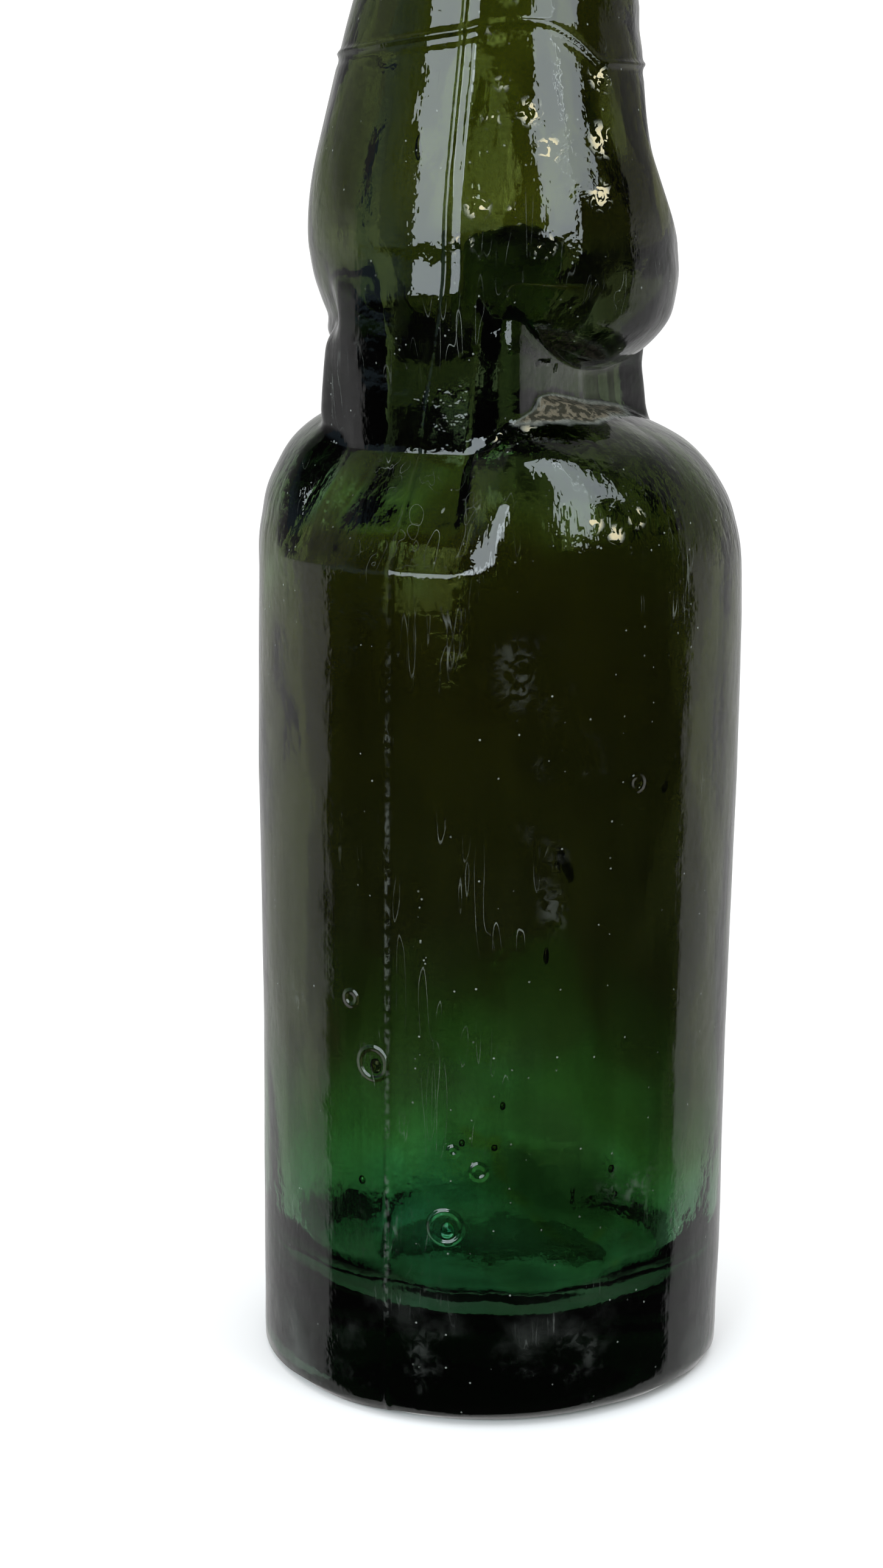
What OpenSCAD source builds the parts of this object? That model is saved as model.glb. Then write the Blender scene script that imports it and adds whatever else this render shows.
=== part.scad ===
// Marble stopper bottle: a dark green soda bottle that is sealed from inside by a glass marble.
// The foot stands on Z = 0, Z is the axis of the bottle, and the pockets of the waist face -Y and +Y.
// Gas lifts the marble from its seat over the throat to the rubber ring in the lip.

/* [Body] */
// Outside diameter of the round body
body_d = 62.4; // [56:0.2:68]
// Height of the flat top of the shoulder above the foot
shoulder_h = 127.5; // [115:0.5:140]
// Rounding radius of the shoulder
shoulder_r = 20; // [17:0.5:22]
// Rounding radius of the heel
heel_r = 4; // [3:0.25:6]
// Glass thickness of the side and the shoulder
body_wall = 5; // [4:0.1:6]
// Glass thickness of the base, above the hollow under it
base_t = 10.5; // [8:0.25:14]
// Rounding radius inside the body, between the side and the base
floor_r = 9; // [6:0.5:12]
// Diameter of the hollow under the base
punt_d = 38; // [30:0.5:44]
// Depth of the hollow under the base
punt_h = 2.6; // [1.5:0.1:4]

/* [Waist] */
// Height of the open pocket between the shoulder and the chamber
pocket_h = 4.5; // [3.5:0.1:6]
// Thickness of the waist from one pocket wall to the other
waist_w = 26; // [23:0.2:27]
// Outside diameter across the two struts that join the chamber to the shoulder
strut_d = 41.6; // [39:0.2:43]
// Depth of the hollow curve down the outside of each strut
strut_hollow = 0.8; // [0.4:0.1:1.2]
// Rounding radius of the struts' upright corners
strut_corner_r = 2.6; // [1.5:0.1:3.5]
// Length of the throat slot, from strut to strut
throat_l = 29; // [27:0.2:31]
// Width of the throat slot
throat_w = 12; // [10:0.1:13]

/* [Chamber] */
// Outside diameter of the marble chamber
chamber_d = 46.8; // [45:0.2:50]
// Rounding radius of the chamber's underside
chamber_r = 11; // [9:0.25:12]
// Height of the upright band round the chamber
chamber_band = 4; // [2:0.25:7]
// Radius of the curve from the band up into the neck
belly_r = 45; // [38:1:55]
// Glass thickness of the chamber and the neck
chamber_wall = 4.3; // [3.6:0.1:4.8]
// Fall of the chamber floor towards the throat, which centres the marble
seat_fall = 2; // [1:0.1:3]

/* [Catch Dents] */
// Height of the two catch dents above the bottom of the chamber
lug_z = 29; // [27:0.5:31]
// Angle of each catch dent from the strut that lies between them
lug_angle = 48; // [44:0.5:50]
// Depth of each dent in the outside of the glass
lug_dent = 2.4; // [1.6:0.1:3]
// Radius of the tool mark that each dent leaves in the outside
lug_tool_r = 30; // [22:1:36]
// How far each dent stands into the chamber
lug_reach = 5; // [4:0.1:5.6]
// Radius of the round bump that each dent makes inside
lug_bump_r = 9.5; // [9:0.1:10]

/* [Neck] */
// Slope of the neck above the chamber, in degrees from upright
neck_slope = 14; // [12:0.25:15]
// Height of the sloping stretch of the neck
cone_h = 20; // [16:0.5:24]
// Height of the neck's hollow curve, from the slope up to the lip
flare_h = 24; // [20:0.5:28]
// Radius of the neck's hollow curve
flare_r = 132; // [125:1:160]

/* [Lip] */
// Height of the applied lip
lip_h = 20; // [18:0.5:24]
// Outside diameter of the lip
lip_d = 29.2; // [28:0.2:32]
// Diameter of the mouth's bore above the ring
bore_d = 13.8; // [13:0.1:14.6]
// Rounding radius of the lip's outer top edge
lip_top_r = 3.8; // [2.5:0.1:4.2]
// Rounding radius from the top of the lip into the bore
mouth_r = 2.4; // [1.5:0.1:3]
// Rounding radius of the lip's lower edge
lip_foot_r = 2.5; // [1.5:0.1:3]
// Height of the ledge under the ring groove
ledge_h = 2.6; // [2:0.1:3.5]

/* [Rubber Ring] */
// Outside diameter of the ring
ring_d = 21; // [20.4:0.1:22]
// Bore of the ring
ring_bore = 12.4; // [11.8:0.1:12.8]
// Thickness of the ring
ring_t = 5.2; // [4.4:0.1:6]
// Bevel of the ring's edges
ring_bevel = 0.6; // [0.3:0.05:0.9]

/* [Marble] */
// Diameter of the marble
marble_d = 16; // [15.4:0.1:16.6]

/* [Clearances] */
// Gap between the marble and the seat or the ring at the ends of its travel
marble_gap = 0.3; // [0.2:0.05:0.4]
// Play between the ring and its groove, on the radius and in height
ring_play = 0.2; // [0.1:0.05:0.3]

/* [Hidden] */
$fn = 96;

// Steps along a quarter turn of an outline, and along a slow curve
quarter_steps = 12;
slow_steps = 8;
// How far a cut runs past the face that it opens
past = 1;

glass = [0.18, 0.23, 0.06];
lip_glass = [0.21, 0.27, 0.08];
rubber = [0.35, 0.16, 0.11];
marble_glass = [0.45, 0.62, 0.50];

body_r = body_d / 2;
chamber_or = chamber_d / 2;
strut_or = strut_d / 2;
lip_or = lip_d / 2;
bore_r = bore_d / 2;
marble_r = marble_d / 2;
cavity_floor = base_t + punt_h;

// Heights, each stacked on the one below
chamber_z = shoulder_h + pocket_h;
band_z = chamber_z + chamber_r;
belly_z = band_z + chamber_band;
cone_z = belly_z + belly_r * sin(neck_slope);
flare_z = cone_z + cone_h;
neck_top = flare_z + flare_h;
lip_top = neck_top + lip_h;

// Radii where the belly turns into the slope, and the slope into the hollow curve
cone_foot_r = chamber_or - belly_r * (1 - cos(neck_slope));
cone_top_r = cone_foot_r - cone_h * tan(neck_slope);
flare_centre = [cone_top_r + flare_r * cos(neck_slope), flare_z + flare_r * sin(neck_slope)];

// Radius of the neck at the lip for glass that lies the given depth below the outside
function neck_r(inset) =
    flare_centre[0] - sqrt(pow(flare_r + inset, 2) - pow(flare_centre[1] - neck_top, 2));

neck_or = neck_r(0);
neck_ir = neck_r(chamber_wall);

// The throat's upper edge nearest the axis, where the marble rests
seat_z = chamber_z + chamber_wall - seat_fall * (1 - throat_w / 2 / (chamber_or - chamber_r));
marble_z = seat_z + sqrt(pow(marble_r, 2) - pow(throat_w / 2, 2)) + marble_gap;

groove_z = neck_top + ledge_h;
groove_r = ring_d / 2 + ring_play;
groove_top = groove_z + ring_t + ring_play;

// Height of the marble's centre when it seals, at the ring's lower inner edge
seal_z = groove_z + ring_bevel - sqrt(pow(marble_r, 2) - pow(ring_bore / 2, 2)) - marble_gap;
echo(marble_rest_z = marble_z, marble_travel = seal_z - marble_z, lip_top = lip_top);
echo(neck_inner_r = neck_ir, neck_outer_r = neck_or, seat_z = seat_z, neck_top = neck_top);

// Points of an arc round a centre, from one angle to another
function arc(centre, r, from, to, steps = quarter_steps) =
    [for (i = [0:steps]) centre + r * [cos(from + (to - from) * i / steps), sin(from + (to - from) * i / steps)]];

// Points of a shallow dome, from its top at the axis out to its rim
function dome(rim_r, rim_z, rise) =
    [for (i = [0:slow_steps]) [rim_r * i / slow_steps, rim_z + rise * (1 - pow(i / slow_steps, 2))]];

// The body with its heel, shoulder and the hollow under its base
module body_outside() {
    rotate_extrude()
        polygon(concat(
            dome(punt_d / 2, 0, punt_h),
            arc([body_r - heel_r, heel_r], heel_r, -90, 0),
            arc([body_r - shoulder_r, shoulder_h - shoulder_r], shoulder_r, 0, 90),
            [[0, shoulder_h]]));
}

// The hollow of the body, whose floor rises over the base
module body_inside() {
    inner_r = body_r - body_wall;
    rotate_extrude()
        polygon(concat(
            dome(inner_r - floor_r, cavity_floor - punt_h / 2, punt_h / 2),
            arc([inner_r - floor_r, cavity_floor - punt_h / 2 + floor_r], floor_r, -90, 0),
            arc([body_r - shoulder_r, shoulder_h - shoulder_r], shoulder_r - body_wall, 0, 90),
            [[0, shoulder_h - body_wall]]));
}

// Outline of the chamber and the neck, the given depth below their outside
function chamber_path(inset, fall = 0) = concat(
    [[0, chamber_z + inset - fall]],
    arc([chamber_or - chamber_r, band_z], chamber_r - inset, -90, 0),
    arc([chamber_or - belly_r, belly_z], belly_r - inset, 0, neck_slope, slow_steps),
    [for (i = [0:slow_steps]) let (z = flare_z + flare_h * i / slow_steps)
        [flare_centre[0] - sqrt(pow(flare_r + inset, 2) - pow(flare_centre[1] - z, 2)), z]]);

module chamber_outside() {
    rotate_extrude()
        polygon(concat(chamber_path(0), [[0, neck_top]]));
}

// Places its children at the two catch dents, with +X pointing out of the glass
module at_lugs() {
    for (side = [-1, 1])
        rotate([0, 0, side * lug_angle])
            translate([0, 0, chamber_z + lug_z])
                children();
}

// Outside radius of the neck's slope at the height of the dents
lug_or = cone_foot_r - (chamber_z + lug_z - cone_z) * tan(neck_slope);

// The hollow of the chamber and the neck, with the dents standing into it
module chamber_inside() {
    difference() {
        rotate_extrude()
            polygon(concat(chamber_path(chamber_wall, seat_fall), [[neck_ir, neck_top + past], [0, neck_top + past]]));
        at_lugs()
            translate([lug_or - chamber_wall - lug_reach + lug_bump_r, 0, 0])
                sphere(lug_bump_r);
    }
}

// The tool marks of the dents in the outside of the glass
module lug_marks() {
    at_lugs()
        translate([lug_or, 0, 0])
            rotate([0, -neck_slope, 0])
                translate([lug_tool_r - lug_dent, 0, 0])
                    sphere(lug_tool_r);
}

// Plan of the waist: two flat pocket walls and two round struts, with rounded corners
module waist_plan() {
    corner_y = waist_w / 2 - strut_corner_r;
    corner_x = sqrt(pow(strut_or - strut_corner_r, 2) - pow(corner_y, 2));
    turn = atan2(corner_y, corner_x);
    quarter = concat(
        arc([0, 0], strut_or, 0, turn, slow_steps),
        arc([corner_x, corner_y], strut_corner_r, turn, 90, slow_steps));
    for (front = [0, 1], left = [0, 1])
        mirror([0, front, 0])
            mirror([left, 0, 0])
                polygon(concat([[-past, -past], [strut_or * cos(turn / slow_steps), -past]], quarter,
                    [[-past, waist_w / 2]]));
}

// The pinched waist, drawn in down the outside of its struts
module waist_outside() {
    curve_r = (pow(chamber_z - shoulder_h + 2 * chamber_r / 3, 2) / 4 + pow(strut_hollow, 2)) / (2 * strut_hollow);
    difference() {
        translate([0, 0, shoulder_h - shoulder_r])
            linear_extrude(band_z - shoulder_h + shoulder_r)
                waist_plan();
        rotate_extrude()
            translate([strut_or - strut_hollow + curve_r, (shoulder_h + band_z) / 2 - strut_corner_r])
                circle(curve_r);
    }
}

// The slot that joins the body's hollow to the chamber, too narrow for the marble
module throat() {
    slot_z = shoulder_h - body_wall - past;
    translate([0, 0, slot_z]) {
        linear_extrude(chamber_z + chamber_wall - slot_z) {
            square([throat_l - throat_w, throat_w], center = true);
            for (side = [-1, 1])
                translate([side * (throat_l - throat_w) / 2, 0])
                    circle(throat_w / 2);
        }
    }
}

module bottle() {
    color(glass)
        difference() {
            union() {
                body_outside();
                waist_outside();
                chamber_outside();
            }
            body_inside();
            throat();
            chamber_inside();
            lug_marks();
        }
}

// The lip is laid on the neck face to face, with the groove for the ring inside it
module applied_lip() {
    color(lip_glass)
        rotate_extrude()
            polygon(concat(
                [[neck_ir, neck_top], [neck_or, neck_top]],
                arc([lip_or - lip_foot_r, neck_top + lip_foot_r], lip_foot_r, -60, 0),
                arc([lip_or - lip_top_r, lip_top - lip_top_r], lip_top_r, 0, 90),
                arc([bore_r + mouth_r, lip_top - mouth_r], mouth_r, 90, 180),
                [[bore_r, groove_top], [groove_r, groove_top], [groove_r, groove_z], [neck_ir, groove_z]]));
}

// The ring lies on the ledge of the groove
module rubber_ring() {
    inner = ring_bore / 2;
    outer = ring_d / 2;
    top = groove_z + ring_t;
    color(rubber)
        rotate_extrude()
            polygon([
                [inner + ring_bevel, groove_z], [outer - ring_bevel, groove_z],
                [outer, groove_z + ring_bevel], [outer, top - ring_bevel],
                [outer - ring_bevel, top], [inner + ring_bevel, top],
                [inner, top - ring_bevel], [inner, groove_z + ring_bevel]]);
}

module marble() {
    color(marble_glass)
        translate([0, 0, marble_z])
            sphere(marble_r);
}

bottle();
applied_lip();
rubber_ring();
marble();
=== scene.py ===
# A marble stopper bottle: thick dark green glass, blown, pinched at the waist, with a lip added by hand.
# Lengths are in millimetres until a mesh is made, and Z is the axis of the bottle, with the foot at 0.
import math

import bpy
import numpy as np
from mathutils import Matrix, Vector


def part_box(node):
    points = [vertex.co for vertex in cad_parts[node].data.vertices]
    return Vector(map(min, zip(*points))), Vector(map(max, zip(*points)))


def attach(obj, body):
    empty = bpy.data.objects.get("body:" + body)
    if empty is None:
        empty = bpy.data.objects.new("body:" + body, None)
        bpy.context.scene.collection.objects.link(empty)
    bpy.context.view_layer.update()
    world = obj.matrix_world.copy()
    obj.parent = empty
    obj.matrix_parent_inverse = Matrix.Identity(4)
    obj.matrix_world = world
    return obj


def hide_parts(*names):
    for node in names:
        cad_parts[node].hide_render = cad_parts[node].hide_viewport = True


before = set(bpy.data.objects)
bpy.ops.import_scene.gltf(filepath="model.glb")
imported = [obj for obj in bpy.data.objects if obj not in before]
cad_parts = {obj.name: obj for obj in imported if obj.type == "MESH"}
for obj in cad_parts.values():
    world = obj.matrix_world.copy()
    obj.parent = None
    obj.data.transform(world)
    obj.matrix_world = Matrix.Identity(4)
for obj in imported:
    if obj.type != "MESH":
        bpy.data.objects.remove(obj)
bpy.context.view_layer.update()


# The bottle itself is one piece of dark olive glass, blown in a mould, then pinched with tongs while soft.
# The pinch leaves two flat pockets, two struts and a slot that the marble can't pass. Two dents are pressed
# into the chamber, and the mould leaves an upright seam on each side and a ring round the neck.
MM = 0.001
# The photograph sees the bottle from this turn about its axis.
PHOTO_TURN = math.radians(212.0)
BODY_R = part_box("bottle")[1].x / MM
NECK_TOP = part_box("bottle")[1].z / MM
SHOULDER_R = 20.0
SHOULDER_Z = 127.5
PUNT_R, PUNT_H = 19.0, 2.6
WAIST_Y = 13.0
STRUT_R = 22.0
CORNER_R = 3.0
CHAMBER_R = 23.4
CHAMBER_Z = 132.0
UNDER_R = 11.0
BAND_Z, BELLY_Z = CHAMBER_Z + UNDER_R, CHAMBER_Z + UNDER_R + 4.0
BELLY_R = 45.0
SLOPE = math.radians(14.0)
CONE_H = 20.0
FLARE_R = 132.0
WALL_BODY, WALL_NECK = 5.0, 4.3
FLOOR_Z, FLOOR_R = 11.8, 9.0
THROAT_X, THROAT_Y = 14.5, 6.0
BOWL_X, BOWL_Z, BOWL_A, BOWL_B = 6.0, 152.0, 13.5, 15.7
SEAT_R, SEAT_Z, SEAT_RISE = 10.0, 135.3, 0.42
LUG_Z, LUG_TURN = 161.0, math.radians(48.0)

CONE_Z = BELLY_Z + BELLY_R * math.sin(SLOPE)
FLARE_Z = CONE_Z + CONE_H
CONE_FOOT_R = CHAMBER_R - BELLY_R * (1 - math.cos(SLOPE))
CONE_TOP_R = CONE_FOOT_R - CONE_H * math.tan(SLOPE)
FLARE_X = CONE_TOP_R + FLARE_R * math.cos(SLOPE)
FLARE_MID_Z = FLARE_Z + FLARE_R * math.sin(SLOPE)


def arc(x, z, r, start, end, n):
    """Points along an arc about a middle."""
    a = np.linspace(start, end, n)
    return np.stack([x + r * np.cos(a), z + r * np.sin(a)], 1)


def line(x0, z0, x1, z1, n):
    """Points along a straight line."""
    t = np.linspace(0, 1, n)
    return np.stack([x0 + (x1 - x0) * t, z0 + (z1 - z0) * t], 1)


def flare(inset, z0, z1, n):
    """Points along the long hollow curve of the neck, or further in by an inset."""
    z = np.linspace(z0, z1, n)
    return np.stack([FLARE_X - np.sqrt((FLARE_R + inset) ** 2 - (FLARE_MID_Z - z) ** 2), z], 1)


def waist_radius(turn):
    """How far the waist's outside lies from the axis: round on the struts, flat on the pocket walls."""
    t = abs((turn + math.pi / 2) % math.pi - math.pi / 2)
    y = WAIST_Y - CORNER_R
    x = math.sqrt((STRUT_R - CORNER_R) ** 2 - y * y)
    middle = math.atan2(y, x)
    if t < middle:
        return STRUT_R
    if t < math.atan2(WAIST_Y, x):
        c = math.hypot(x, y)
        return c * math.cos(t - middle) + math.sqrt(CORNER_R ** 2 - (c * math.sin(t - middle)) ** 2)
    return WAIST_Y / math.sin(t)


def throat_radius(turn):
    """How far the throat slot's wall lies from the axis."""
    t = abs((turn + math.pi / 2) % math.pi - math.pi / 2)
    x = THROAT_X - THROAT_Y
    if t > math.atan2(THROAT_Y, x):
        return THROAT_Y / math.sin(t)
    return x * math.cos(t) + math.sqrt(THROAT_Y ** 2 - (x * math.sin(t)) ** 2)


# The heel is rounder on some sides: its radius at turns from the photograph.
HEEL_ALPHA = (-180, -120, -90, -60, -40, -20, 0, 30, 55, 75, 90, 120, 180)
HEEL_R = (4.0, 1.6, 0.8, 0.9, 1.5, 3.0, 3.9, 4.5, 3.2, 1.5, 1.2, 2.0, 4.0)


def bottle_stretches(turn):
    """The stretches of one upright cut through the glass, from under the base, up outside and down inside."""
    heel_r = np.interp((math.degrees(turn - PHOTO_TURN) + 180) % 360 - 180, HEEL_ALPHA, HEEL_R)
    w = waist_radius(turn)
    s = throat_radius(turn)
    shoulder_x = BODY_R - SHOULDER_R
    shoulder_z = SHOULDER_Z - SHOULDER_R
    under_x = CHAMBER_R - UNDER_R
    shelf = math.acos((w - shoulder_x) / SHOULDER_R)
    under = -math.acos((w - under_x) / UNDER_R)
    top = shoulder_z + SHOULDER_R * math.sin(shelf)
    bottom = BAND_Z + UNDER_R * math.sin(under)
    inner = BODY_R - WALL_BODY
    roof_r = SHOULDER_R - WALL_BODY
    roof = math.acos(max(0.0, min(1.0, (s - shoulder_x) / roof_r)))
    roof_z = shoulder_z + roof_r * math.sin(roof)
    bowl_start = math.asin((BAND_Z + 3 - BOWL_Z) / BOWL_B)
    bowl_end = -math.acos((max(s, SEAT_R) - BOWL_X) / BOWL_A)
    bowl = np.linspace(bowl_start, bowl_end, 16)
    bowl = np.stack([BOWL_X + BOWL_A * np.cos(bowl), BOWL_Z + BOWL_B * np.sin(bowl)], 1)
    edge_z = SEAT_Z + (s - THROAT_Y) * SEAT_RISE if s < SEAT_R else bowl[-1, 1]
    dome = np.linspace(0, 1, 8)
    punt = np.stack([PUNT_R * dome, PUNT_H * (1 - dome ** 2)], 1)
    back = np.linspace(1, 0, 8)
    base = np.stack([(inner - FLOOR_R) * back, FLOOR_Z + PUNT_H / 2 * (1 - back ** 2)], 1)
    belly_in = BELLY_R - WALL_NECK
    cone_in = (CHAMBER_R - BELLY_R + belly_in * math.cos(SLOPE), BELLY_Z + belly_in * math.sin(SLOPE))
    neck_in = flare(WALL_NECK, NECK_TOP, FLARE_Z, 14)
    rim = flare(0, NECK_TOP, NECK_TOP, 1)[0, 0]
    return [
        punt,
        line(PUNT_R, 0, BODY_R - heel_r, 0, 4),
        arc(BODY_R - heel_r, heel_r, heel_r, -math.pi / 2, 0, 9),
        line(BODY_R, heel_r, BODY_R, shoulder_z, 60),
        arc(shoulder_x, shoulder_z, SHOULDER_R, 0, shelf, 34),
        line(w, top, w, bottom, 14),
        arc(under_x, BAND_Z, UNDER_R, under, 0, 20),
        line(CHAMBER_R, BAND_Z, CHAMBER_R, BELLY_Z, 4),
        arc(CHAMBER_R - BELLY_R, BELLY_Z, BELLY_R, 0, SLOPE, 10),
        line(CONE_FOOT_R, CONE_Z, CONE_TOP_R, FLARE_Z, 16),
        flare(0, FLARE_Z, NECK_TOP, 16),
        line(rim, NECK_TOP, neck_in[0, 0], NECK_TOP, 4),
        neck_in,
        line(neck_in[-1, 0], FLARE_Z, cone_in[0], cone_in[1], 12),
        arc(CHAMBER_R - BELLY_R, BELLY_Z, belly_in, SLOPE, 0, 6),
        line(CHAMBER_R - WALL_NECK, BELLY_Z, bowl[0, 0], bowl[0, 1], 3),
        bowl,
        line(bowl[-1, 0], bowl[-1, 1], s, edge_z, 6),
        line(s, edge_z, s, roof_z, 9),
        line(s, roof_z, shoulder_x, roof_z, 4) if s < shoulder_x else np.repeat([[s, roof_z]], 4, 0),
        arc(shoulder_x, shoulder_z, roof_r, roof, 0, 16),
        line(inner, shoulder_z, inner, FLOOR_Z + FLOOR_R, 36),
        arc(inner - FLOOR_R, FLOOR_Z + FLOOR_R, FLOOR_R, 0, -math.pi / 2, 8),
        base,
    ]


def ease(v, a, b):
    """Rises smoothly from 0 at a to 1 at b."""
    t = np.clip((v - a) / (b - a), 0, 1)
    return t * t * (3 - 2 * t)


def softened(path, reach):
    """Rounds the corners of a cut through the glass, as fire does, over about the given length."""
    step = 0.15
    s = np.concatenate([[0], np.cumsum(np.hypot(*np.diff(path, axis=0).T))])
    even = np.arange(0, s[-1] + step, step)
    x, z = np.interp(even, s, path[:, 0]), np.interp(even, s, path[:, 1])
    n = int(3 * reach / step)
    kernel = np.exp(-0.5 * (np.arange(-n, n + 1) * step / reach) ** 2)
    kernel /= kernel.sum()
    x = np.convolve(np.concatenate([-x[n:0:-1], x, -x[-2:-n - 2:-1]]), kernel, "valid")
    z = np.convolve(np.concatenate([z[n:0:-1], z, z[-2:-n - 2:-1]]), kernel, "valid")
    return even, np.stack([x, z], 1), s


# Each run of stretches gets its own number of rows, so the waist and the neck are the finest.
ROW_RUNS = ((3, 16), (4, 62), (7, 72), (11, 80), (12, 4), (16, 34), (18, 20), (19, 8), (21, 14), (22, 18),
            (24, 12))
# Rows just above the heel, where side, waist and outside end, and where the funnel inside starts and ends.
SIDE_START, SIDE_END, WAIST_END, OUTSIDE_END = 20, 78, 150, 230
FUNNEL_START, FUNNEL_END = 269, 310
# The rows of the neck stand closest where the mould ring crosses it.
NECK_RUN = 11
NECK_ROWS, NECK_SHARES = (0, 30, 58), (0, 0.41, 0.53, 1)


def bottle_cut(turn):
    """One cut through the glass as evenly spread points, with soft corners."""
    stretches = bottle_stretches(turn)
    ends = np.cumsum([len(s) for s in stretches])
    even, path, s = softened(np.concatenate(stretches), 0.45)
    out = [path[:1]]
    start = 0.0
    for last, rows in ROW_RUNS:
        end = s[ends[last - 1] - 1]
        at = np.linspace(start, end, rows + 1)[1:]
        if last == NECK_RUN:
            share = np.interp(np.arange(1, rows + 1), NECK_ROWS + (rows,), NECK_SHARES)
            at = start + (end - start) * share
        out.append(np.stack([np.interp(at, even, path[:, 0]), np.interp(at, even, path[:, 1])], 1))
        start = end
    return np.concatenate(out)


SEAM = math.radians(187.0)
CREASE = 0.03


def bottle_turns():
    """Angles of the upright cuts, closer together at the two mould seams."""
    near = np.radians(np.linspace(-2.4, 14, 34))
    turns = []
    for k in (0, 1):
        start = SEAM + k * math.pi
        turns += [start + d for d in near]
        turns += list(np.linspace(start + near[-1], start + near[0] + math.pi, 98)[1:-1])
    return np.array(turns) % (2 * math.pi)


def strut_outline(rows):
    """The front of a strut: up the side of the body, in over a sloping shoulder, and up into the chamber."""
    corners = np.array([(BODY_R, SHOULDER_Z - SHOULDER_R), (BODY_R, 108.8), (22.1, 122.2), (22.6, 132),
                        (23.2, 139.5), (CHAMBER_R, 141.5), (CHAMBER_R, BAND_Z)])
    s = np.concatenate([[0], np.cumsum(np.hypot(*np.diff(corners, axis=0).T))])
    at = np.linspace(0, s[-1], rows + 1)[1:]
    for crease in s[1:3]:
        k = np.argmin(np.abs(at - crease))
        at[k], at[k + 1] = crease - CREASE, crease + CREASE
    return np.stack([np.interp(at, s, corners[:, 0]), np.interp(at, s, corners[:, 1])], 1)


TURNS = bottle_turns()
CUTS = np.array([bottle_cut(turn) for turn in TURNS])
ROWS = CUTS.shape[1]
off_strut = np.abs((TURNS + math.pi / 2) % math.pi - math.pi / 2)
on_strut = 1 - ease(off_strut, math.radians(21), math.radians(33))
strut = strut_outline(WAIST_END - SIDE_END)
waist_rows = CUTS[:, SIDE_END + 1:WAIST_END + 1]
waist_rows += (strut[None] - waist_rows) * on_strut[:, None, None]

# Inside, the slot opens into the chamber and into the body like a funnel at both struts.
FUNNEL_Z = (107.5, 111.5, 115, 119, 124, 130, 136, 141, 146)
FUNNEL_R = (26.2, 24.8, 21.0, 17.6, 16.0, 15.6, 16.2, 17.2, 18.5)
middle = CUTS[np.argmin(off_strut), FUNNEL_START:FUNNEL_END, 1]
funnel = np.stack([np.interp(middle, FUNNEL_Z, FUNNEL_R), middle], 1)
in_slot = 1 - ease(off_strut, math.radians(18), math.radians(27))
funnel_rows = CUTS[:, FUNNEL_START:FUNNEL_END]
funnel_rows += (funnel[None] - funnel_rows) * in_slot[:, None, None]


def round_dent(turn, height, middle_turn, middle_height, radius, reach):
    """A round dent of depth 1 about a point of a round wall."""
    d = (turn - middle_turn + math.pi) % (2 * math.pi) - math.pi
    near = np.hypot(d * radius, height - middle_height) / reach
    return np.clip(1 - near ** 2, 0, 1) ** 1.5


def ripple(turn, height, seed, waves, amount, tall):
    """Slow unevenness of hand made glass, the sum of many shallow waves round and up the wall."""
    rng = np.random.default_rng(seed)
    out = np.zeros(np.broadcast(turn, height).shape)
    for _ in range(waves):
        round_count = rng.integers(2, 24)
        rise = rng.uniform(-1, 1) * round_count / 30 / tall * 2
        size = rng.normal() / (3 + round_count)
        phase = rng.uniform(0, 6.28)
        out += size * np.cos(round_count * turn + rise * height + phase)
    return out * amount


# How far the left and the right edge stand out from the plain turned form, at these heights.
SIDE_Z = (0, 8, 15, 45, 60, 80, 100, 106.6, 112.9, 116, 119.2, 122.3, 126, 128.5, 131.5, 134.6, 136.2,
          137.7, 140.6, 143.7, 146.7, 150, 158, 165, 170, 173, 176, 192, 203)
LEFT = (-0.3, -0.38, -0.36, -0.38, -0.12, 0.05, -0.15, -0.2, 0.05, 0.68, 1.16, 2.1, 2.9, 2.75, 2.5, 2.15,
        1.25, -0.1, 0.05, 0.74, 1.25, 1.35, 1.5, 1.55, 1.6, 1.6, 1.5, 0.8, 0)
RIGHT = (-0.45, -0.4, -0.2, -0.2, -0.1, 0.15, 0.2, 0, -0.35, -0.14, -0.05, -0.1, -1.5, -1.8, -2.3, -1.9, -1.6,
         -1.34, -1.4, -1.26, -1.56, -1.65, -2.4, -2.15, -2.1, -1.9, -1.15, -0.6, 0)
# The mould ring round the neck isn't level: its height at turns from the photograph's side.
RING_ALPHA = (-180, -86, -56, -42, -29, -16, -8, 0, 5, 14, 20, 27, 32, 37, 60, 180)
RING_Z = (169.6, 169.7, 170.0, 170.5, 171.0, 171.6, 172.2, 172.5, 172.7, 172.6, 172.0, 170.8, 169.6, 168.2,
          168.4, 169.6)
# Depth of the dents outside and inside, lean of the strut by height, and how far seam and ring stand out.
DENT_OUT, DENT_IN = 3.3, 4.6
STRUT_LEAN = ((119, 126, 134, 147), (1.4, 1.9, 1.8, 1.25))
SEAM_RIDGE, SEAM_STEP, RING_RIDGE = 0.17, 0.3, 0.30


def smooth_values(at, places, values, spread=1.6):
    """Values between given places without kinks."""
    fine = np.linspace(places[0], places[-1], 2001)
    v = np.interp(fine, places, values)
    width = int(2001 * spread / (places[-1] - places[0]))
    kernel = np.hanning(2 * width + 1)
    v = np.convolve(np.pad(v, width, mode="edge"), kernel / kernel.sum(), "valid")
    return np.interp(at, fine, v)


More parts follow.
